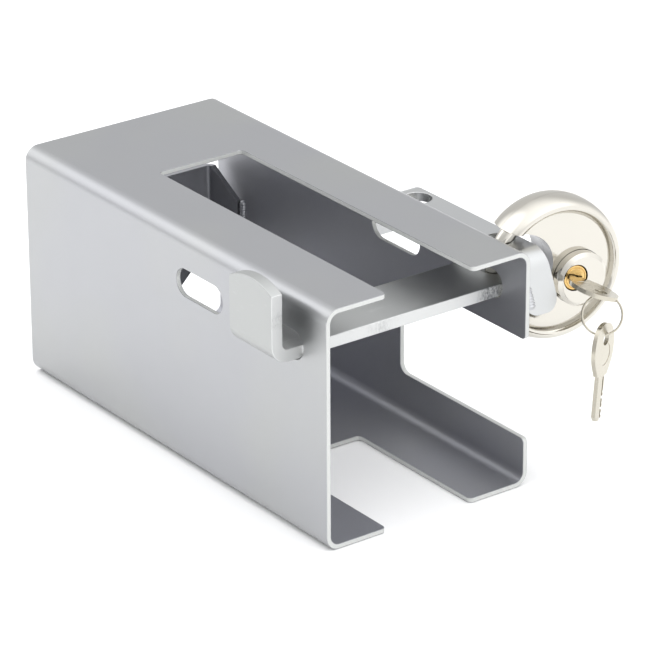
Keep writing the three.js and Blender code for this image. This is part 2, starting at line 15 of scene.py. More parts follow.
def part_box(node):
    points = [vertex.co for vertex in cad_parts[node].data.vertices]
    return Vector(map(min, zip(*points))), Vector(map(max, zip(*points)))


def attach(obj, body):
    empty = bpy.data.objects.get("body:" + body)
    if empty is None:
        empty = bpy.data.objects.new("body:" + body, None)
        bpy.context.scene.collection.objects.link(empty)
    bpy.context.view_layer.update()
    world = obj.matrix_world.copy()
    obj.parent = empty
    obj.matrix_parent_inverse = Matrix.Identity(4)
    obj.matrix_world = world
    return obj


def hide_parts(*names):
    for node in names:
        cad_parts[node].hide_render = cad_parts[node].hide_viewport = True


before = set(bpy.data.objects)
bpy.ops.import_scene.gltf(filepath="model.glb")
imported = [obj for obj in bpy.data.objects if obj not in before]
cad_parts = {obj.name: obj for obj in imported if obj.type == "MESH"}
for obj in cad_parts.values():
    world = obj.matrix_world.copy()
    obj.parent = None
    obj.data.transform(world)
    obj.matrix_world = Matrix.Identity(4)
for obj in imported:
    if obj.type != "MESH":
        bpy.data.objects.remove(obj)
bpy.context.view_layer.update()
MM = 0.001

# ---- sizes, in millimetres ----------------------------------------------------------------

# How far the cutting tools run past a piece: a little, well clear of it, or right through the lock.
REACH, FAR, THROUGH = 5, 20, 30
PAINT_PLAY = 0.3  # how far a face may lie off the surface whose finish it takes


def node_box(name):
    """The low and high corners of a CAD node."""
    low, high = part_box(name)
    return Vector(low) / MM, Vector(high) / MM


BOX_LOW, BOX_HIGH = node_box("housing")
WALL = BOX_HIGH.x
HEIGHT = BOX_HIGH.z
FRONT, REAR = BOX_LOW.y, BOX_HIGH.y
SHEET = 2.4
BOX_BEND = 7.0
MOUTH_LIP = 2.5
TOP_SLOT = dict(width=47.8, length=176.6, corner=2.5)
FLOOR_SLOT = dict(width=47.6, length=83.7, corner=3.0)
SIDE_WINDOW = dict(length=92.6, bottom=23.5, top=73.0, corner=5.0)
BAR_SLOT = dict(length=36.6, height=13.8, middle=93.0)
FRONT_STATION, REAR_STATION = -85.4, -24.0

BAR_LOW, BAR_HIGH = node_box("locking_bar")
BAR_THICK = 6.0
BAR_BEND = 9.0
BAR_CROWN = 32.6
BAR_CORNER = 6.0
BAR_HOLE = dict(x=64.8, radius=7.0)

BRACKET_LOW, BRACKET_HIGH = node_box("padlock_bracket")
BRACKET_THICK = 4.6
BRACKET_BEND = dict(front=-99.4, rear=-15.8, radius=12.4, angle=radians(66))
BRACKET_HOLE = dict(x=67.4, radius=6.95)
BRACKET_CORNER = 7.5
BRACKET_LEG = 30

# Weld beads: out is how far a bead's middle line stands off the wall, half is half its length, sunk
# and past are how far it lies inside the wall and beyond the tip of the stop's flange.
FOOT_BEAD = dict(out=1.9, up=91, half=5.8, radius=3.6, stations=dict(front=-115.6, rear=0.5))
SEAM_BEAD = dict(out=0.5, half=8.6, radius=2.3, stations=dict(front=-84, middle=-55, rear=-27))
STOP_BEAD = dict(sunk=0.2, past=0.6, half=5.6, radius=2.0)
RIPPLE = dict(pitch=1.3, height=0.05, lumps=0.07, mean=0.93)

STOP_LOW, STOP_HIGH = node_box("rear_stop")
STOP = dict(bend=4.0, half=49.9, depth=20.5, chamfer=24.9, flare=radians(16))

LOCK_CENTRE = Vector((91.9, -90.9, 90.7))
LOCK_YAW, LOCK_ROLL, CORE_TURN = radians(-8), radians(13), radians(12)
DISC = dict(radius=35.0, half=10.8, wall=1.5, crest=31.0, crease=27.8, crease_face=7.8, face=8.2, seam=0.05,
            dip=4.0)
NOTCH = dict(radius=16.9, x=-19.9)
BOSS = dict(x=11.9, radius=13.1, face=11.3, front=-13.9, bevel=-12.4, gap=0.2)
SKIRT = dict(radius=11.6, shelf=-10.8, foot=-6.9)
CYLINDER = dict(radius=11.3, front=-10.6, back=4.4)
PLUG = dict(x=7.06, radius=6.0, front=-13.6, back=4.7, bore=6.4)
PIN_ANGLE = radians(4)
PIN_RADIUS = 0.9
PIN_CHAMBER = dict(radius=1.2, plug=(2, 9), cylinder=(5, 14.2))
PIN_STATIONS = [-9 + 2.6 * i for i in range(5)]
SPRING = dict(coils=5, wire=0.16, foot=9.9, rise=3.8)

# Profiles of small turned pieces. The pins' radii are shares of the pin's, by height above the
# plug's axis. The plug's face is drawn by radius and depth: a shallow dish, then a ring groove.
KEY_PIN = [(0, 3.45), (0.35, 3.5), (1, 4.2), (1, 5.8), (0.8, 5.9), (0, 5.9)]
DRIVER_PIN = [(0, 6.5), (0.9, 6.5), (1, 6.7), (1, 7.2), (0.6, 7.4), (0.6, 8.6), (1, 8.8), (1, 9.5),
              (0.8, 9.6), (0, 9.6)]
PLUG_FACE = [(0, 0.15), (1.9, 0.15), (2.3, 0), (4.6, 0), (4.75, 0.3), (5.0, 0.3), (5.15, 0)]
PLUG_EDGE = 0.35

SHACKLE = dict(ring=29.5, wire=4.0, tunnel=4.4, tip=125.0, tail=285.0)
POST = dict(radius=1.5, ring=26.8, angle=radians(-75), end=8.5)

KEY = dict(thick=2.0, blade=21.0, inserted=18.0, belly=-4.0, crest=3.1, bow=24.8, width=22.0)
KEY_HOLE = dict(x=0.8, y=-17.2, radius=3.0)
KEY_CUTS = (0.9, 1.7, 0.6, 1.4, 1.0)
KEY_GROOVES = {1: (-1.4, 0.4), -1: (0.9, 2.0)}  # the sides of the groove on each side of the blade
GROOVE_DEPTH, PANEL_DEPTH = 0.5, 0.18
KEYWAY_PLAY = 0.3
HOOKED, HUNG = Vector((2.6, -18.2, 0)), Vector((0.6, -18.9, 0))
RING = dict(radius=9.2, wire=0.55, pitch=1.15, turns=2, short=16)
RING_YAW, RING_DOWN, RING_HANG = radians(-36), radians(-24), radians(7)
SPARE = dict(yaw=radians(27), pitch=radians(-1), lean=radians(12.6), hang=radians(174))

# ---- outlines, as lists of (u, v) ----------------------------------------------------------


def arc(u, v, radius, start, end, steps=12):
    """Points on an arc. The angles are in radians and either may be the larger."""
    angles = [start + (end - start) * i / steps for i in range(steps + 1)]
    return [(u + radius * cos(a), v + radius * sin(a)) for a in angles]


def rounded_box(u0, v0, u1, v1, radius, steps=10):
    """A rectangle with round corners, anticlockwise from the corner at high u and low v."""
    corners = [(u1 - radius, v0 + radius), (u1 - radius, v1 - radius),
               (u0 + radius, v1 - radius), (u0 + radius, v0 + radius)]
    points = []
    for i, (u, v) in enumerate(corners):
        points += arc(u, v, radius, (i - 1) * pi / 2, i * pi / 2, steps)
    return points


def obround(u, v, length, height):
    """A slot with round ends that lies along u."""
    radius = height / 2
    reach = length / 2 - radius
    right = arc(u + reach, v, radius, -pi / 2, pi / 2, 24)
    return right + arc(u - reach, v, radius, pi / 2, 1.5 * pi, 24)


def circle(u, v, radius, sides=64):
    return arc(u, v, radius, 0, 2 * pi, sides)[:-1]


def open_slot(mouth, end, v0, v1, corner):
    """A slot that opens at u = mouth, with eased lips there and round corners at its end."""
    lip = MOUTH_LIP
    outside = mouth - FAR
    points = [(outside, v0 - lip)]
    points += arc(mouth + lip, v0 - lip, lip, pi, pi / 2, 8)
    points += arc(end - corner, v0 + corner, corner, -pi / 2, 0, 8)
    points += arc(end - corner, v1 - corner, corner, 0, pi / 2, 8)
    points += arc(mouth + lip, v1 + lip, lip, -pi / 2, -pi, 8)
    points.append((outside, v1 + lip))
    return points


# ---- meshes -------------------------------------------------------------------------------


def mesh_object(name, bm):
    """Turn a bmesh into an object, with its faces looking outward."""
    bmesh.ops.remove_doubles(bm, verts=bm.verts, dist=1e-8)
    bmesh.ops.recalc_face_normals(bm, faces=bm.faces)
    mesh = bpy.data.meshes.new(name)
    bm.to_mesh(mesh)
    bm.free()
    piece = bpy.data.objects.new(name, mesh)
    bpy.context.scene.collection.objects.link(piece)
    return piece


def prism(axis, outline, start, end):
    """A solid along one axis. Outlines are (x, y) for Z, (x, z) for Y and (y, z) for X."""
    place = {"x": lambda u, v, w: (w, u, v), "y": lambda u, v, w: (u, w, v),
             "z": lambda u, v, w: (u, v, w)}[axis]
    bm = bmesh.new()
    rims = [[bm.verts.new(Vector(place(u, v, w)) * MM) for u, v in outline] for w in (start, end)]
    count = len(outline)
    for i in range(count):
        j = (i + 1) % count
        bm.faces.new((rims[0][i], rims[0][j], rims[1][j], rims[1][i]))
    bm.faces.new(rims[0])
    bm.faces.new(rims[1])
    return mesh_object("tool", bm)


def spin(profile, sides=96, centre=(0, 0)):
    """A solid of revolution about Y from (radius, y) points that start and end on the axis."""
    bm = bmesh.new()
    rings = []
    for radius, y in profile:
        if radius < 1e-6:
            rings.append([bm.verts.new(Vector((centre[0], y, centre[1])) * MM)])
            continue
        points = circle(centre[0], centre[1], radius, sides)
        rings.append([bm.verts.new(Vector((u, y, v)) * MM) for u, v in points])
    for low, high in zip(rings, rings[1:]):
        for i in range(sides):
            j = (i + 1) % sides
            corners = [low[i % len(low)], low[j % len(low)], high[j % len(high)], high[i % len(high)]]
            unique = list(dict.fromkeys(corners))
            if len(unique) > 2:
                bm.faces.new(unique)
    return mesh_object("tool", bm)


def sweep(points, radii, sides=16, closed=False):
    """A round tube along points in millimetres. radii is one number, or one for each point."""
    if isinstance(radii, (int, float)):
        radii = [radii] * len(points)
    points = [Vector(p) for p in points]
    count = len(points)
    bm = bmesh.new()
    rings = []
    side = None
    for i, point in enumerate(points):
        after = points[(i + 1) % count] if closed or i + 1 < count else points[i]
        before = points[i - 1] if closed or i else points[i]
        along = (after - before).normalized()
        if side is None:
            side = along.orthogonal().normalized()
        side = (side - along * side.dot(along)).normalized()
        other = along.cross(side)
        ring = []
        for k in range(sides):
            angle = 2 * pi * k / sides
            offset = (side * cos(angle) + other * sin(angle)) * radii[i]
            ring.append(bm.verts.new((point + offset) * MM))
        rings.append(ring)
    pairs = list(zip(rings, rings[1:]))
    if closed:
        pairs.append((rings[-1], rings[0]))
    for low, high in pairs:
        for k in range(sides):
            m = (k + 1) % sides
            bm.faces.new((low[k], low[m], high[m], high[k]))
    if not closed:
        bm.faces.new(rings[0])
        bm.faces.new(rings[-1])
    return mesh_object("tool", bm)


def rod(axis, u, v, radius, start, end, sides=64):
    return prism(axis, circle(u, v, radius, sides), start, end)


def settle(piece):
    """Turn the piece's modifiers into its mesh."""
    graph = bpy.context.evaluated_depsgraph_get()
    done = bpy.data.meshes.new_from_object(piece.evaluated_get(graph))
    piece.modifiers.clear()
    piece.data = done
    return piece


def combine(piece, tools, operation):
    """Apply the tools to the piece by one kind of boolean, and use the tools up."""
    for tool in tools:
        modifier = piece.modifiers.new(operation, "BOOLEAN")
        modifier.operation = operation
        modifier.object = tool
        modifier.solver = "EXACT"
    settle(piece)
    for tool in tools:
        bpy.data.objects.remove(tool)
    return piece


def cut(piece, *tools):
    return combine(piece, tools, "DIFFERENCE")


def join(piece, *tools):
    return combine(piece, tools, "UNION")


def common(piece, *tools):
    return combine(piece, tools, "INTERSECT")


def clean(piece):
    """Merge the slivers that booleans leave and dissolve edges inside flat faces."""
    bm = bmesh.new()
    bm.from_mesh(piece.data)
    bmesh.ops.remove_doubles(bm, verts=bm.verts, dist=0.004 * MM)
    bmesh.ops.dissolve_limit(bm, angle_limit=radians(0.5), verts=bm.verts, edges=bm.edges)
    bm.to_mesh(piece.data)
    bm.free()
    return piece


def ease(piece, width, segments=2, angle=32):
    """Round the sharp edges by a small width, in millimetres, and shade flat faces truly flat."""
    clean(piece)
    bevel = piece.modifiers.new("eased", "BEVEL")
    bevel.width = width * MM
    bevel.segments = segments
    bevel.limit_method = "ANGLE"
    bevel.angle_limit = radians(angle)
    bevel.use_clamp_overlap = True
    settle(piece)
    smooth(piece, angle)
    normals = piece.modifiers.new("flat faces", "WEIGHTED_NORMAL")
    normals.keep_sharp = True
    return settle(piece)


def smooth(piece, angle=40):
    """Shade the piece smooth, apart from edges sharper than the angle."""
    for polygon in piece.data.polygons:
        polygon.use_smooth = True
    piece.data.set_sharp_from_angle(angle=radians(angle))
    return piece


EDGE, SHADED_INSIDE = 1, 2  # places in a piece's list of materials, where its main finish is at 0


def paint(piece, index, chosen):
    """Give the faces that are chosen by their corners the material with that index."""
    corners = [vertex.co / MM for vertex in piece.data.vertices]
    for polygon in piece.data.polygons:
        if chosen([corners[i] for i in polygon.vertices]):
            polygon.material_index = index


def move(piece, matrix):
    """Turn and shift the piece's vertices. The shift is in millimetres."""
    scaled = matrix.copy()
    scaled.translation = matrix.translation * MM
    piece.data.transform(scaled)
    return piece


def copy_of(node, name):
    """A new piece with a CAD node's shape."""
    piece = bpy.data.objects.new(name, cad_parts[node].data.copy())
    piece.data.materials.clear()
    piece.matrix_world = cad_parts[node].matrix_world.copy()
    bpy.context.scene.collection.objects.link(piece)
    return piece


# ---- materials ----------------------------------------------------------------------------


class Shader:
    """A principled material and short calls that add nodes to it."""

    def __init__(self, name, metallic, roughness):
        self.material = bpy.data.materials.new(name)
        self.material.use_nodes = True
        self.tree = self.material.node_tree
        self.tree.nodes.clear()
        self.output = self.tree.nodes.new("ShaderNodeOutputMaterial")
        self.surface = self.add("ShaderNodeBsdfPrincipled", Metallic=metallic, Roughness=roughness)
        self.link(self.surface.outputs["BSDF"], self.output.inputs["Surface"])
        self.place = self.add("ShaderNodeTexCoord").outputs["Object"]

    def add(self, kind, **values):
        node = self.tree.nodes.new(kind)
        for key, value in values.items():
            node.inputs[key.replace("_", " ")].default_value = value
        return node

    def link(self, source, target):
        self.tree.links.new(source, target)

    def stretched(self, scale):
        mapping = self.add("ShaderNodeMapping", Scale=scale)
        self.link(self.place, mapping.inputs["Vector"])
        return mapping.outputs["Vector"]

    def noise(self, scale, detail=3.0, roughness=0.5, source=None, distortion=0.0):
        node = self.add("ShaderNodeTexNoise", Scale=scale, Detail=detail, Roughness=roughness,
                        Distortion=distortion)
        self.link(source or self.place, node.inputs["Vector"])
        return node.outputs["Fac"]

    def span(self, factor, low, high, from_low=0.0, from_high=1.0):
        node = self.add("ShaderNodeMapRange", From_Min=from_low, From_Max=from_high,
                        To_Min=low, To_Max=high)
        self.link(factor, node.inputs["Value"])
        return node.outputs["Result"]

    def blend(self, factor, low, high):
        """A colour between low and high. Either may be a colour or another node's output."""
        node = self.tree.nodes.new("ShaderNodeMix")
        node.data_type = "RGBA"
        self.link(factor, node.inputs["Factor"])
        for socket, value in ((node.inputs[6], low), (node.inputs[7], high)):
            if isinstance(value, (tuple, list)):
                socket.default_value = (*value, 1.0)
            else:
                self.link(value, socket)
        return node.outputs[2]

    def bump(self, height, strength, distance):
        """Stack one more layer of bump on the surface. The distance is in millimetres."""
        node = self.add("ShaderNodeBump", Strength=strength, Distance=distance * MM)
        self.link(height, node.inputs["Height"])
        normal = self.surface.inputs["Normal"]
        if normal.is_linked:
            self.link(normal.links[0].from_socket, node.inputs["Normal"])
        self.link(node.outputs["Normal"], normal)

    def colour(self, source):
        self.link(source, self.surface.inputs["Base Color"])

    def roughness(self, source):
        self.link(source, self.surface.inputs["Roughness"])


def zinc_plate(name, cool, warm, specks, satin=0.37):
    """Satin zinc on rolled sheet: faint warm and cool clouds, a fine grain, light rolling lines."""
    s = Shader(name, 1.0, satin)
    toned = s.blend(s.span(s.noise(11.0, 2.0, 0.5), 0.0, 1.0, 0.42, 0.6), cool, warm)
    grain = s.noise(1400.0, 2.0, 0.6)
    s.colour(s.blend(s.span(grain, 0.0, 0.10, 0.3, 0.8), toned, specks))
    s.roughness(s.span(s.noise(46.0, 3.0, 0.6), satin - 0.04, satin + 0.04))
    s.bump(grain, 0.10, 0.02)
    s.bump(s.noise(1.0, 2.0, 0.5, s.stretched((60.0, 900.0, 60.0))), 0.05, 0.02)
    return s.material


def cut_edge():
    """The sheared and laser-cut edges of plated sheet, paler and more matt than its faces."""
    s = Shader("cut_edge", 0.25, 0.5)
    streaks = s.noise(1.0, 3.0, 0.6, s.stretched((700.0, 700.0, 90.0)))
    s.colour(s.blend(streaks, (0.53, 0.542, 0.527), (0.59, 0.598, 0.582)))
    s.bump(streaks, 0.15, 0.05)
    return s.material


def bar_face():
    """The broad faces of the plated bar: an even pale satin with faint clouds and a few rub marks."""
    s = Shader("bar_face", 1.0, 0.4)
    clouds = s.noise(55.0, 3.0, 0.6)
    marks = s.span(s.noise(1.0, 2.0, 0.5, s.stretched((90.0, 260.0, 900.0)), 0.6), 0.0, 0.3, 0.66, 0.85)
    even = s.blend(clouds, (0.440, 0.449, 0.443), (0.478, 0.486, 0.480))
    s.colour(s.blend(marks, even, (0.62, 0.63, 0.63)))
    s.roughness(s.span(clouds, 0.42, 0.54))
    s.bump(s.noise(700.0, 3.0, 0.6), 0.28, 0.07)
    return s.material


def bar_edge():
    """The sheared edges of the bar: bright plated metal broken by dark, torn grain."""
    s = Shader("bar_edge", 0.7, 0.42)
    grain = s.noise(1.0, 4.0, 0.7, s.stretched((1100.0, 1100.0, 700.0)))
    worn = s.span(s.noise(34.0, 2.0, 0.5), 0.0, 1.0, 0.36, 0.5)
    speckled = s.blend(s.span(grain, 0.0, 1.0, 0.35, 0.62), (0.13, 0.135, 0.14), (0.60, 0.61, 0.60))
    s.colour(s.blend(worn, speckled, (0.585, 0.592, 0.588)))
    s.bump(grain, 0.35, 0.15)
    return s.material


def weld_metal():
    """A plated weld bead, a little darker and rougher than the plate, with fine ripples."""
    s = Shader("weld_metal", 1.0, 0.45)
    mottle = s.noise(240.0, 4.0, 0.65)
    s.colour(s.blend(mottle, (0.42, 0.43, 0.45), (0.60, 0.605, 0.615)))
    s.roughness(s.span(mottle, 0.30, 0.55))
    s.bump(mottle, 0.2, 0.12)
    return s.material


def polished_stainless():
    """Mirror-polished stainless with a warm cast and hair-fine buffing marks round the disc."""
    s = Shader("polished_stainless", 1.0, 0.1)
    tint = s.noise(28.0, 2.0, 0.5)
    s.colour(s.blend(tint, (0.585, 0.562, 0.510), (0.616, 0.594, 0.540)))
    s.roughness(s.span(s.noise(160.0, 3.0, 0.6), 0.055, 0.13))
    rings = s.add("ShaderNodeTexWave", Scale=520.0, Distortion=1.5, Detail=2.0)
    rings.wave_type = "RINGS"
    rings.rings_direction = "Y"
    s.link(s.place, rings.inputs["Vector"])
    s.bump(rings.outputs["Fac"], 0.02, 0.01)
    return s.material


def machined_steel():
    """Turned and stamped inner steel with a thin oil film."""
    s = Shader("machined_steel", 1.0, 0.32)
    stain = s.noise(90.0, 4.0, 0.6)
    s.colour(s.blend(stain, (0.40, 0.40, 0.41), (0.56, 0.56, 0.56)))
    s.roughness(s.span(stain, 0.24, 0.44))
    s.bump(s.noise(1.0, 2.0, 0.5, s.stretched((900.0, 60.0, 900.0))), 0.08, 0.03)
    return s.material


def turned_brass():
    """Bright turned brass with fine tool marks."""
    s = Shader("turned_brass", 1.0, 0.2)
    patina = s.noise(120.0, 3.0, 0.6)
    s.colour(s.blend(patina, (0.64, 0.42, 0.15), (0.80, 0.57, 0.25)))
    s.roughness(s.span(patina, 0.16, 0.3))
    s.bump(s.noise(900.0, 2.0, 0.5), 0.06, 0.02)
    return s.material


def nickel_plate():
    """Bright nickel on stamped brass: warm grey, finely scratched by handling."""
    s = Shader("nickel_plate", 1.0, 0.2)
    tint = s.noise(60.0, 2.0, 0.5)
    s.colour(s.blend(tint, (0.475, 0.445, 0.372), (0.545, 0.515, 0.442)))
    scratches = s.noise(1.0, 3.0, 0.7, s.stretched((1500.0, 240.0, 900.0)), 1.0)
    s.roughness(s.span(scratches, 0.15, 0.34))
    s.bump(scratches, 0.08, 0.02)
    return s.material


ZINC = zinc_plate("zinc_plate", (0.415, 0.420, 0.434), (0.426, 0.432, 0.431), (0.36, 0.364, 0.375))
PALE_ZINC = zinc_plate("pale_zinc_plate", (0.515, 0.525, 0.53), (0.53, 0.537, 0.535), (0.46, 0.465, 0.47))
# A darker, bluer and rougher copy of the zinc for faces inside the box: painted shade.
SHADED_INNER_ZINC = zinc_plate("shaded_inner_zinc_plate", (0.39, 0.395, 0.43), (0.405, 0.409, 0.43), (0.33, 0.334, 0.35),
                        satin=0.52)
CUT, BAR_FACE, BAR_EDGE = cut_edge(), bar_face(), bar_edge()
WELD, STAINLESS, STEEL = weld_metal(), polished_stainless(), machined_steel()
BRASS, NICKEL = turned_brass(), nickel_plate()


def declare(piece, name, body, slot, materials, *nodes):
    """Name a finished piece, give it its materials, hang it on its body's empty and hide the CAD nodes it
    stands for.
    """
    piece.name = name
    piece.data.name = name
    for material in materials:
        piece.data.materials.append(material)
    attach(piece, body)
    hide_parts(*nodes)
    return piece


# ---- folded box ---------------------------------------------------------------------------


def lengthwise_slot(slot, start, end):
    """The tool for a slot along the box that opens at its front end."""
    half = slot["width"] / 2
    outline = open_slot(FRONT, FRONT + slot["length"], -half, half, slot["corner"])
    return prism("z", [(v, u) for u, v in outline], start, end)


def build_housing():
    """The folded section, with its slots and window cut out and its faces sorted by finish: cut edges, and
    inner faces in a darker zinc that is painted shade.
    """
    outer = rounded_box(-WALL, 0, WALL, HEIGHT, BOX_BEND, steps=16)
    inner = rounded_box(-WALL + SHEET, SHEET, WALL - SHEET, HEIGHT - SHEET, BOX_BEND - SHEET, steps=16)
    piece = prism("y", outer, FRONT, REAR)
    window = open_slot(FRONT, FRONT + SIDE_WINDOW["length"], SIDE_WINDOW["bottom"],
                       SIDE_WINDOW["top"], SIDE_WINDOW["corner"])
    tools = [
        prism("y", inner, FRONT - REACH, REAR + REACH),
        lengthwise_slot(TOP_SLOT, HEIGHT - BOX_BEND, HEIGHT + REACH),
        lengthwise_slot(FLOOR_SLOT, -REACH, BOX_BEND),
        prism("x", window, WALL - BOX_BEND, WALL + REACH),
    ]
    for station in (FRONT_STATION, REAR_STATION):
        slot = obround(station, BAR_SLOT["middle"], BAR_SLOT["length"], BAR_SLOT["height"])
        tools.append(prism("x", slot, -WALL - REACH, WALL + REACH))
    cut(piece, *tools)
    rounding, slant = 0.28, 0.2 * SHEET
    ease(piece, rounding, segments=2, angle=40)

    def depth(point):
        """How far a point lies under the outer skin of the folded section."""
        u = abs(point.x) - (WALL - BOX_BEND)
        v = abs(point.z - HEIGHT / 2) - (HEIGHT / 2 - BOX_BEND)
        outside = sqrt(max(u, 0) ** 2 + max(v, 0) ** 2) + min(max(u, v), 0)
        return BOX_BEND - outside

    def spread(corners):
        """How far a face runs through the sheet's thickness, which only cut edges do."""
        return max(map(depth, corners)) - min(map(depth, corners))

    # Inner faces take the darker inner zinc, as painted shade inside the box.
    paint(piece, SHADED_INSIDE, lambda corners: min(map(depth, corners)) > SHEET - rounding)
    paint(piece, EDGE, lambda corners: spread(corners) > slant)
    return declare(piece, "folded_box", "box", "zinc_plated_steel", [ZINC, CUT, SHADED_INNER_ZINC], "housing")


def build_rear_stop():
    """A bent plate whose flanges flare to the walls, mitred at top and bottom, with cut lower corners."""
    bend, half, flare = STOP["bend"], STOP["half"], STOP["flare"]
    back = STOP_HIGH.y
    centre_x, centre_y = half - bend, back - bend
    reach = STOP["depth"] - bend
    bottom, top = STOP_LOW.z, STOP_HIGH.z

    def tip(radius):
        return (centre_x + radius * cos(flare) + reach * sin(flare),
                centre_y + radius * sin(flare) - reach * cos(flare))

    outer, inner = tip(bend), tip(bend - SHEET)
    plan = [(-outer[0], outer[1])]
    plan += arc(-centre_x, centre_y, bend, pi - flare, pi / 2)
    plan += arc(centre_x, centre_y, bend, pi / 2, flare)
    plan += [outer, inner]
    plan += arc(centre_x, centre_y, bend - SHEET, flare, pi / 2)
    plan += arc(-centre_x, centre_y, bend - SHEET, pi / 2, pi - flare)
    plan.append((-inner[0], inner[1]))
    piece = prism("z", plan, bottom, top)
    low = bottom + STOP["chamfer"]
    under, over, behind = bottom - REACH, top + REACH, REAR + REACH
    tips = centre_y - reach - 2
    side = [(centre_y, under), (behind, under), (behind, over), (centre_y, over), (centre_y, top),
            (tips, top - reach - 2), (tips, low + reach - 2), (centre_y, low)]
    foot = half - STOP["chamfer"]
    rise = 60  # carries the cut corners out past the plate
    face = [(-foot, bottom), (foot, bottom), (foot + rise, bottom + rise), (foot + rise, over),
            (-foot - rise, over), (-foot - rise, bottom + rise)]
    common(piece, prism("x", side, -WALL, WALL), prism("y", face, FRONT, behind))
    ease(piece, 0.25, segments=2, angle=40)
    # The whole stop takes the darker inner zinc, as painted shade for a plate inside the box.
    return declare(piece, "rear_stop_plate", "box", "zinc_plated_steel", [SHADED_INNER_ZINC], "rear_stop")


def build_bracket():
    """The strip's side view with its two bent-down ends, cut to its width and drilled."""
    radius, angle = BRACKET_BEND["radius"], BRACKET_BEND["angle"]
    top, leg = BRACKET_HIGH.z, BRACKET_LEG
    middle = top - radius

    def foot(bend, way, r):
        reach = r * sin(angle) + leg * cos(angle)
        return (bend + way * reach, middle + r * cos(angle) - leg * sin(angle))

    front, rear = BRACKET_BEND["front"], BRACKET_BEND["rear"]
    inside = radius - BRACKET_THICK
    outline = [foot(front, -1, radius)]
    outline += arc(front, middle, radius, pi / 2 + angle, pi / 2, steps=18)
    outline += arc(rear, middle, radius, pi / 2, pi / 2 - angle, steps=18)
    outline += [foot(rear, 1, radius), foot(rear, 1, inside)]
    outline += arc(rear, middle, inside, pi / 2 - angle, pi / 2, steps=18)
    outline += arc(front, middle, inside, pi / 2, pi / 2 + angle, steps=18)
    outline.append(foot(front, -1, inside))
    piece = prism("x", outline, WALL, BRACKET_HIGH.x)
    view = rounded_box(WALL, BRACKET_LOW.z, BRACKET_HIGH.x, top + FAR, BRACKET_CORNER, steps=14)
    common(piece, prism("y", view, FRONT - FAR, REAR))
    holes = [rod("z", BRACKET_HOLE["x"], station, BRACKET_HOLE["radius"], top - 10, top + REACH)
             for station in (FRONT_STATION, REAR_STATION)]
    cut(piece, *holes)
    ease(piece, 0.35, segments=3, angle=35)
    return declare(piece, "bent_bracket", "box", "zinc_plated_steel", [PALE_ZINC], "padlock_bracket")


def bead(start, end, radius, name, plates, seed):
    """A rippled weld bead with rounded ends, between two points inside the plates it joins."""
    start, end = Vector(start), Vector(end)
    length = (end - start).length
    steps = max(24, int(length * 4))
    points, radii = [], []
    for i in range(steps + 1):
        t = i / steps
        points.append(start.lerp(end, t))
        cap = sqrt(max(0.0, 1 - (2 * t - 1) ** 8))
        ripple = RIPPLE["height"] * sin(2 * pi * t * length / RIPPLE["pitch"])
        lumps = RIPPLE["lumps"] * noise.noise(Vector((t * 4.0, seed, 0.0)))
        radii.append(max(0.05, radius * cap * (RIPPLE["mean"] + ripple + lumps)))
    piece = smooth(sweep(points, radii, 24))
    return declare(piece, name, "box", "weld_metal", [WELD], *plates)


def build_welds():
    """Beads at the bracket's feet, along its top seam and up the tips of the rear stop."""
    lean = BRACKET_BEND["angle"]
    for name, y in FOOT_BEAD["stations"].items():
        way = 1 if name == "front" else -1
        middle = Vector((WALL + FOOT_BEAD["out"], y, FOOT_BEAD["up"]))
        along = Vector((0, cos(lean) * way, sin(lean))) * FOOT_BEAD["half"]
        bead(middle - along, middle + along, FOOT_BEAD["radius"], f"foot_bead_{name}",
             [f"bracket_weld_{name}"], y)
    for name, y in SEAM_BEAD["stations"].items():
        middle = Vector((WALL + SEAM_BEAD["out"], y, BRACKET_HIGH.z))
        along = Vector((0, SEAM_BEAD["half"], 0))
        bead(middle - along, middle + along, SEAM_BEAD["radius"], f"seam_bead_{name}",
             [f"bracket_weld_top_{name}"], y)
    tip_y = STOP_HIGH.y - STOP["depth"] - STOP_BEAD["past"]
    middle_z = (STOP_HIGH.z + STOP_LOW.z + STOP["chamfer"]) / 2
    for name, side in (("left", -1), ("right", 1)):
        middle = Vector((side * (WALL - SHEET - STOP_BEAD["sunk"]), tip_y, middle_z))
        along = Vector((0, 0, STOP_BEAD["half"]))
        bead(middle - along, middle + along, STOP_BEAD["radius"], f"stop_bead_{name}",
             [f"stop_weld_{name}"], side * 9)


# ---- locking bar --------------------------------------------------------------------------


def build_bar():
    """The bent flat bar: its side view, trimmed to the head's crown and the end's round corners."""
    head, low, end, peak = BAR_LOW.x, BAR_LOW.z, BAR_HIGH.x, BAR_HIGH.z
    half = (BAR_HIGH.y - BAR_LOW.y) / 2
    bend_x, bend_z = head + BAR_BEND, low + BAR_BEND
    side = [(end, low), (end, low + BAR_THICK)]
    side += arc(bend_x, bend_z, BAR_BEND - BAR_THICK, -pi / 2, -pi, steps=16)
    side += [(head + BAR_THICK, peak), (head, peak)]
    side += arc(bend_x, bend_z, BAR_BEND, pi, 1.5 * pi, steps=24)
    near, away = FRONT_STATION - half, FRONT_STATION + half
    piece = prism("y", side, near, away)
    crown_angle = asin(half / BAR_CROWN)
    crown = [(near, low - REACH), (away, low - REACH)]
    crown += arc(FRONT_STATION, peak - BAR_CROWN, BAR_CROWN, pi / 2 - crown_angle,
                 pi / 2 + crown_angle, steps=28)
    plan = rounded_box(head - FAR, near, end, away, BAR_CORNER, steps=12)
    common(piece, prism("x", crown, head - REACH, end + REACH), prism("z", plan, low - REACH, peak + REACH))
    cut(piece, rod("z", BAR_HOLE["x"], FRONT_STATION, BAR_HOLE["radius"], low - REACH, low + FAR))
    ease(piece, 0.5, segments=3, angle=32)
    rim = half - PAINT_PLAY
    paint(piece, EDGE, lambda corners: min(abs(c.y - FRONT_STATION) for c in corners) > rim)
    looks = [BAR_FACE, BAR_EDGE]
    return declare(piece, "bent_locking_bar", "locking_bar", "galvanised_bar", looks, "locking_bar")


# ---- padlock ------------------------------------------------------------------------------

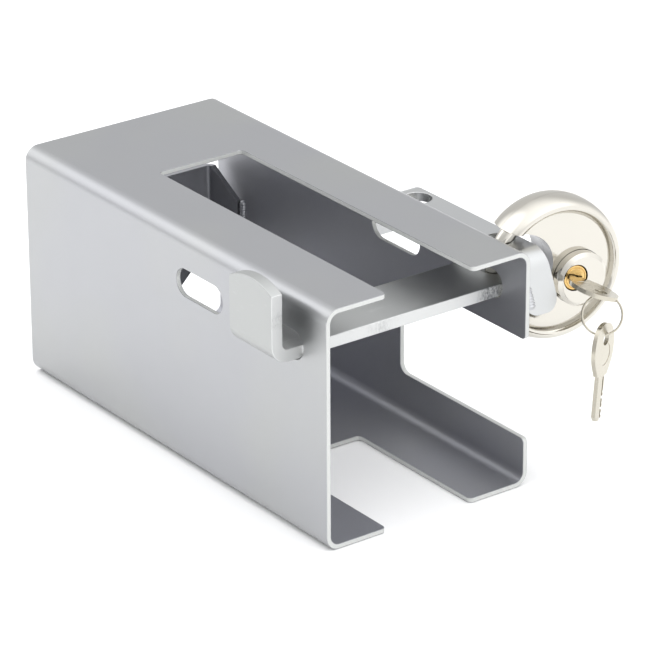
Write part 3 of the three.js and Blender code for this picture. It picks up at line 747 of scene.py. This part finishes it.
LOCK_STANCE = Matrix.Rotation(LOCK_YAW, 4, "Z") @ Matrix.Rotation(LOCK_ROLL, 4, "Y")
LOCK = Matrix.Translation(LOCK_CENTRE) @ LOCK_STANCE
CORE = LOCK @ Matrix.Rotation(CORE_TURN, 4, "Y")


def stand(piece, place):
    """Stand a piece in a frame whose place is in millimetres, keeping the piece's own axes."""
    placed = place.copy()
    placed.translation = place.translation * MM
    piece.matrix_world = placed
    return piece


def disc_profile(offset, sunk):
    """Half of a shell's section. The front face is sunk inside a crease, and the back is plain."""
    crest, seam = DISC["crest"], DISC["seam"]
    rim_top = DISC["half"] - offset
    points = [(0, -rim_top)]
    if sunk:
        flat = DISC["crease"] - DISC["dip"]
        foot = DISC["crease"] + 0.6 * offset
        dip_steps, swell_steps = 8, 14
        level, low = DISC["face"] - offset, DISC["crease_face"] - offset
        points = [(0, -level), (flat, -level)]
        for i in range(1, dip_steps + 1):
            t = i / dip_steps
            points.append((flat + (foot - flat) * t, -level - (low - level) * t * t))
        for i in range(1, swell_steps + 1):
            t = i / swell_steps
            points.append((foot + (crest - foot) * t, -low - (rim_top - low) * sin(t * pi / 2)))
    wide = DISC["radius"] - offset - crest
    rim_steps = 20
    for i in range(1 if sunk else 0, rim_steps + 1):
        angle = pi / 2 * i / rim_steps
        points.append((crest + wide * sin(angle), -seam - (rim_top - seam) * cos(angle)))
    return points


def notch_tool(grow):
    """The notch as a tool through the disc, larger all round by grow."""
    radius = NOTCH["radius"] + grow
    outline = [(NOTCH["x"] - THROUGH, -radius)]
    outline += arc(NOTCH["x"], 0, radius, -pi / 2, pi / 2, steps=48)
    outline.append((NOTCH["x"] - THROUGH, radius))
    return prism("y", outline, -THROUGH, THROUGH)


def ring_points(radius, start, end, steps, rise=0.0):
    """Points on an arc in the XZ plane, in degrees, which may climb along Y like a coil."""
    points = []
    for i in range(steps + 1):
        t = i / steps
        angle = radians(start + (end - start) * t)
        points.append((radius * cos(angle), rise * (t - 0.5), radius * sin(angle)))
    return points


def shackle_tunnel():
    """The round channel that the shackle swings in."""
    return sweep(ring_points(SHACKLE["ring"], 0, 360, 96)[:-1], SHACKLE["tunnel"], 24, closed=True)


def half_shell(front):
    """A pressed half of the disc: hollow, with walls round the notch, the tunnel and the boss hole."""
    outside = spin(disc_profile(0, front) + [(0, -DISC["seam"])], sides=160)
    past_seam = 1.0
    inner = disc_profile(DISC["wall"], front)
    inner[-1] = (inner[-1][0], past_seam)
    hollow = spin(inner + [(0, past_seam)], sides=160)
    cut(hollow, notch_tool(DISC["wall"]))
    tools = [notch_tool(0), hollow, shackle_tunnel()]
    if front:
        hole = rod("y", BOSS["x"], 0, BOSS["radius"] + BOSS["gap"], -FAR, -REACH)
        hole.data.transform(Matrix.Rotation(CORE_TURN, 4, "Y"))
        tools.append(hole)
    cut(outside, *tools)
    if not front:
        outside.data.transform(Matrix.Rotation(pi, 4, "X"))
    return ease(outside, 0.55, segments=3, angle=38)


def build_shells():
    """The two polished shells. The walls of the notch take the darker machined steel as their second finish:
    painted shade for the shadow and dark reflection that lie in the notch.
    """
    notch_shade_radius = NOTCH["radius"] + PAINT_PLAY
    for front, name in ((True, "front_shell"), (False, "rear_shell")):
        piece = half_shell(front)
        # Faces round the notch take the darker steel, as painted shade.
        paint(piece, EDGE, lambda corners: max(hypot(c.x - NOTCH["x"], c.z) for c in corners) < notch_shade_radius)
        stand(piece, LOCK)
        declare(piece, name, "padlock", "polished_stainless", [STAINLESS, STEEL], f"padlock_{name}")


def build_boss_and_cylinder():
    """The stepped boss round the plug, and the brass barrel behind it."""
    radius, face = BOSS["radius"], BOSS["face"]
    profile = [(0, SKIRT["shelf"]), (SKIRT["radius"], SKIRT["shelf"]), (SKIRT["radius"], SKIRT["foot"]),
               (radius, SKIRT["foot"]), (radius, BOSS["bevel"]), (face, BOSS["front"]), (0, BOSS["front"])]
    boss = cut(spin(profile, 128, (BOSS["x"], 0)), rod("y", PLUG["x"], 0, PLUG["bore"], -FAR, 0))
    stand(ease(boss, 0.3, segments=3, angle=25), CORE)
    declare(boss, "plug_boss", "padlock", "polished_stainless", [STAINLESS], "padlock_boss")

    barrel = rod("y", BOSS["x"], 0, CYLINDER["radius"], CYLINDER["front"], CYLINDER["back"], 96)
    tools = [rod("y", PLUG["x"], 0, PLUG["bore"], -FAR, FAR)]
    tools += [pin_bar(y, PIN_CHAMBER["radius"], *PIN_CHAMBER["cylinder"]) for y in PIN_STATIONS]
    stand(ease(cut(barrel, *tools), 0.15, segments=2, angle=35), CORE)
    declare(barrel, "brass_cylinder", "padlock", "brass", [BRASS], "lock_cylinder")


def pin_line(y):
    """The frame of one pin: its X runs out from the plug's axis along the line of the pins."""
    return Matrix.Translation((PLUG["x"], y, 0)) @ Matrix.Rotation(-PIN_ANGLE, 4, "Y")


def pin_bar(y, radius, start, end):
    """A round tool along the line of one pin."""
    return move(prism("x", circle(0, 0, radius, 24), start, end), pin_line(y))


def wound_spring():
    """A spring that stands on its driver pin, wound about Y."""
    coils, wire = SPRING["coils"], SPRING["wire"]
    steps = coils * 16
    turns = []
    for k in range(steps + 1):
        angle = 2 * pi * coils * k / steps
        turns.append(((PIN_RADIUS - wire) * cos(angle), SPRING["foot"] + SPRING["rise"] * k / steps,
                      (PIN_RADIUS - wire) * sin(angle)))
    return sweep(turns, wire, 8)


def build_pins():
    """Key pins are pointed at the key's end, driver pins are waisted, and the springs are wound."""
    for number, y in enumerate(PIN_STATIONS, start=1):
        upright = pin_line(y) @ Matrix.Rotation(-pi / 2, 4, "Z")
        key_pin, driver = [spin([(PIN_RADIUS * share, height) for share, height in profile], 24)
                           for profile in (KEY_PIN, DRIVER_PIN)]
        spring = wound_spring()
        made = ((key_pin, "pointed_key_pin", "plug", "brass", BRASS, "key_pin"),
                (driver, "waisted_driver_pin", "padlock", "inner_steel", STEEL, "driver_pin"),
                (spring, "wound_pin_spring", "padlock", "inner_steel", STEEL, "pin_spring"))
        for piece, name, body, slot, material, node in made:
            stand(smooth(move(piece, upright)), CORE)
            declare(piece, f"{name}_{number}", body, slot, [material], f"{node}_{number}")


def build_plug():
    """The plug's face carries the keyway and a shallow ring groove."""
    r, front, back = PLUG["radius"], PLUG["front"], PLUG["back"]
    profile = [(radius, front + depth) for radius, depth in PLUG_FACE]
    profile += [(r - PLUG_EDGE, front), (r, front + PLUG_EDGE), (r, back), (0, back)]
    plug = spin(profile, 96, (PLUG["x"], 0))
    half = KEY["thick"] / 2 + KEYWAY_PLAY
    low, high = KEY["belly"] - KEYWAY_PLAY, KEY["crest"] + KEYWAY_PLAY
    slot = prism("y", [(low, -half), (high, -half), (high, half), (low, half)], -THROUGH, THROUGH)
    tools = [move(slot, pin_line(0))]
    tools += [pin_bar(y, PIN_CHAMBER["radius"], *PIN_CHAMBER["plug"]) for y in PIN_STATIONS]
    stand(ease(cut(plug, *tools), 0.12, segments=2, angle=40), CORE)
    declare(plug, "key_plug", "plug", "brass", [BRASS], "plug")


def build_shackle():
    """A polished bow that swings in its tunnel, with eased ends and the post that drives it."""
    tip, tail, wire = SHACKLE["tip"], SHACKLE["tail"], SHACKLE["wire"]
    bow = sweep(ring_points(SHACKLE["ring"], tip, tail, 72), wire, 32)
    angle = POST["angle"]
    post = rod("y", POST["ring"] * cos(angle), POST["ring"] * sin(angle), POST["radius"], 0, POST["end"], 24)
    stand(ease(join(bow, post), 0.6, segments=4, angle=40), LOCK)
    declare(bow, "curved_shackle", "shackle", "polished_stainless", [STAINLESS], "shackle")


# ---- keys and split ring ------------------------------------------------------------------


def curve(p0, p1, p2, p3, steps=12):
    """Points on a cubic curve after its first end."""
    points = []
    for i in range(1, steps + 1):
        t = i / steps
        weights = ((1 - t) ** 3, 3 * t * (1 - t) ** 2, 3 * t * t * (1 - t), t ** 3)
        points.append(tuple(sum(w * p[k] for w, p in zip(weights, (p0, p1, p2, p3))) for k in (0, 1)))
    return points


def key_outline():
    """The key seen from its side: blade to +Y, bow to -Y, shoulder at the origin."""
    belly, crest, blade, bow = KEY["belly"], KEY["crest"], KEY["blade"], KEY["bow"]
    half = KEY["width"] / 2
    points = [(belly, blade - 2), (belly, 0), (-half * 0.55, -0.4)]
    points += curve(points[-1], (-half * 0.62, -3), (-half, -6), (-half, -bow * 0.5))
    points += curve(points[-1], (-half, -bow * 0.85), (-half * 0.6, -bow), (0, -bow))
    points += curve(points[-1], (half * 0.6, -bow), (half, -bow * 0.85), (half, -bow * 0.5))
    points += curve(points[-1], (half, -6), (half * 0.62, -3), (half * 0.5, -0.4))
    points.append((crest, 0))
    shoulder = blade - KEY["inserted"]
    top, foot = 1.1, 0.3
    for depth, station in zip(KEY_CUTS, PIN_STATIONS):
        y = shoulder + station - PLUG["front"]
        points += [(crest, y - top), (crest - depth, y - foot), (crest - depth, y + foot), (crest, y + top)]
    points += [(crest, blade - 1.6), (crest - 3, blade), (belly + 2, blade)]
    return points


def key_piece():
    """Outline, ring hole, blade grooves and a shallow sunk panel on each side of the bow."""
    half = KEY["thick"] / 2
    piece = prism("z", key_outline(), -half, half)
    panel_y = -KEY["bow"] * 0.42
    panel = [(u * 0.62, panel_y + (v - panel_y) * 0.5) for u, v in circle(0, panel_y, KEY["width"] / 2, 64)]
    tools = [rod("z", KEY_HOLE["x"], KEY_HOLE["y"], KEY_HOLE["radius"], -REACH, REACH)]
    tip = KEY["blade"] + REACH
    for side, (left, right) in KEY_GROOVES.items():
        groove = [(left, 0.5), (right, 0.5), (right, tip), (left, tip)]
        for outline, depth in ((groove, GROOVE_DEPTH), (panel, PANEL_DEPTH)):
            low, high = sorted((side * (half - depth), side * REACH))
            tools.append(prism("z", outline, low, high))
    cut(piece, *tools)
    return ease(piece, 0.22, segments=2, angle=30)


KEY_PLACE = (CORE @ Matrix.Translation((PLUG["x"], PLUG["front"] - (KEY["blade"] - KEY["inserted"]), 0))
             @ Matrix.Rotation(-PIN_ANGLE, 4, "Y"))
RING_TURN = Matrix.Rotation(RING_YAW, 4, "Z") @ Matrix.Rotation(RING_DOWN, 4, "X")


def on_ring(angle):
    """A point of the ring as an offset from the ring's middle, in the part's frame."""
    return RING_TURN @ Vector((RING["radius"] * sin(angle), 0, RING["radius"] * cos(angle)))


RING_CENTRE = KEY_PLACE @ HOOKED - on_ring(RING_HANG)
RING_PLACE = Matrix.Translation(RING_CENTRE) @ RING_TURN
SPARE_TURN = (Matrix.Rotation(SPARE["yaw"], 4, "Z") @ Matrix.Rotation(SPARE["pitch"], 4, "X")
              @ Matrix.Rotation(SPARE["lean"], 4, "Y") @ Matrix.Rotation(-pi / 2, 4, "X"))
SPARE_PLACE = Matrix.Translation(RING_CENTRE + on_ring(SPARE["hang"]) - SPARE_TURN @ HUNG) @ SPARE_TURN


def build_keys_and_ring():
    """The same key twice, one in the plug and one hanging, and the coiled ring between them."""
    keys = ((KEY_PLACE, "inserted_key", "key"), (SPARE_PLACE, "hanging_key", "spare_key"))
    for place, name, body in keys:
        piece = stand(key_piece(), place)
        declare(piece, name, body, "nickel_plate", [NICKEL], body)
    turns = RING["turns"]
    coil = ring_points(RING["radius"], 0, 360 * turns - RING["short"], 150, RING["pitch"] * turns)
    ring = stand(ease(sweep(coil, RING["wire"], 12), 0.15, segments=2, angle=50), RING_PLACE)
    declare(ring, "split_ring", "key_ring", "nickel_plate", [NICKEL], "key_ring")


# ---- hidden steel pieces, which keep their CAD shape ---------------------------------------


def dress_inner_steel():
    """Copies of the stamped pieces inside the padlock, in machined steel."""
    names = ["padlock_core_front", "padlock_core_rear", "shackle_drive_plate", "drive_cam"]
    names += [f"core_rivet_{i}" for i in range(1, 5)]
    bodies = {"shackle_drive_plate": "shackle", "drive_cam": "plug"}
    for name in names:
        piece = smooth(copy_of(name, name), 30)
        declare(piece, f"{name}_finished", bodies.get(name, "padlock"), "inner_steel", [STEEL], name)


# ---- camera, light and floor ----------------------------------------------------------------

EYE = Vector((-1021.4, -1431.5, 842.4))
VIEW_AZIMUTH, VIEW_DOWN, VIEW_ROLL = 0.634, 0.4224, 0.0046
LENS, SENSOR = 228.2, 36
FARTHEST = 50  # metres

# The room's light, and its glows. A glow is the way it lies, the cosine from that way at which it
# starts, and the strength it adds at its middle.
ROOM_TINT = (0.985, 0.99, 1.0, 1.0)
ROOM_LIGHT = 0.84
OVERHEAD_GLOW = ((0, 0, 1), 0.5, 0.95)
FRONT_RIGHT_GLOW = ((0.5, -0.8, 0.3), 0.1, 0.75)
REAR_LEFT_GLOW = ((-0.48, 0.68, 0.55), 0.83, 1.2)
SKY_GLOWS = (OVERHEAD_GLOW, FRONT_RIGHT_GLOW, REAR_LEFT_GLOW)

# The lamp and the floor are in metres. The floor lies a hair below the box.
LAMP = dict(place=(0.2, 0.2, 2.4), size=3.0, power=18)
FLOOR_HALF, FLOOR_DROP = 6.0, 0.0002


def build_camera():
    """The camera that was solved from the straight edges of the box."""
    level = cos(VIEW_DOWN)
    ahead = Vector((sin(VIEW_AZIMUTH) * level, cos(VIEW_AZIMUTH) * level, -sin(VIEW_DOWN)))
    right = Vector((cos(VIEW_AZIMUTH), -sin(VIEW_AZIMUTH), 0))
    down = ahead.cross(right)
    rolled = right * cos(VIEW_ROLL) + down * sin(VIEW_ROLL)
    up = -(down * cos(VIEW_ROLL) - right * sin(VIEW_ROLL))
    data = bpy.data.cameras.new("camera")
    data.lens = LENS
    data.sensor_width = SENSOR
    data.clip_end = FARTHEST
    camera = bpy.data.objects.new("camera", data)
    rotation = Matrix((rolled, up, -ahead)).transposed()
    camera.matrix_world = Matrix.Translation(EYE * MM) @ rotation.to_4x4()
    bpy.context.scene.collection.objects.link(camera)
    bpy.context.scene.camera = camera


def sky_glow(tree, direction, toward, start, gain):
    """A smooth glow of the studio's walls, growing from nothing to its full gain toward one side."""
    facing = tree.nodes.new("ShaderNodeVectorMath")
    facing.operation = "DOT_PRODUCT"
    facing.inputs[1].default_value = Vector(toward).normalized()
    tree.links.new(direction, facing.inputs[0])
    glow = tree.nodes.new("ShaderNodeMapRange")
    glow.interpolation_type = "SMOOTHSTEP"
    for socket, value in (("From Min", start), ("From Max", 1.0), ("To Min", 0.0), ("To Max", gain)):
        glow.inputs[socket].default_value = value
    tree.links.new(facing.outputs["Value"], glow.inputs["Value"])
    return glow.outputs["Result"]


def build_sky():
    """A pale room, brighter overhead, toward the front right and high at the rear left."""
    world = bpy.data.worlds.new("studio")
    bpy.context.scene.world = world
    world.use_nodes = True
    tree = world.node_tree
    background = tree.nodes["Background"]
    background.inputs["Color"].default_value = ROOM_TINT
    direction = tree.nodes.new("ShaderNodeTexCoord").outputs["Generated"]
    strength = None
    for toward, start, gain in SKY_GLOWS:
        total = tree.nodes.new("ShaderNodeMath")
        total.operation = "ADD"
        total.inputs[1].default_value = ROOM_LIGHT
        if strength is not None:
            tree.links.new(strength, total.inputs[1])
        tree.links.new(sky_glow(tree, direction, toward, start, gain), total.inputs[0])
        strength = total.outputs["Value"]
    tree.links.new(strength, background.inputs["Strength"])


def build_overhead_light():
    """A broad soft light straight above, kept out of the reflections."""
    data = bpy.data.lights.new("overhead", "AREA")
    data.shape = "SQUARE"
    data.size = LAMP["size"]
    data.energy = LAMP["power"]
    lamp = bpy.data.objects.new("overhead", data)
    lamp.location = LAMP["place"]
    lamp.visible_camera = False
    lamp.visible_glossy = False
    bpy.context.scene.collection.objects.link(lamp)


def build_floor():
    """A sheet of white paper, larger than any view of the part."""
    half = FLOOR_HALF
    bm = bmesh.new()
    corners = [(-half, -half), (half, -half), (half, half), (-half, half)]
    bm.faces.new([bm.verts.new((x, y, -FLOOR_DROP)) for x, y in corners])
    floor = mesh_object("floor", bm)
    s = Shader("paper_floor", 0.0, 0.75)
    s.colour(s.blend(s.noise(3.0, 2.0), (0.90, 0.90, 0.90), (0.93, 0.93, 0.93)))
    floor.data.materials.append(s.material)


build_housing()
build_rear_stop()
build_bracket()
build_welds()
build_bar()
build_shells()
build_boss_and_cylinder()
build_pins()
build_plug()
build_shackle()
build_keys_and_ring()
dress_inner_steel()
build_camera()
build_sky()
build_overhead_light()
build_floor()
bpy.context.scene.view_settings.view_transform = "Standard"


bpy.context.view_layer.update()
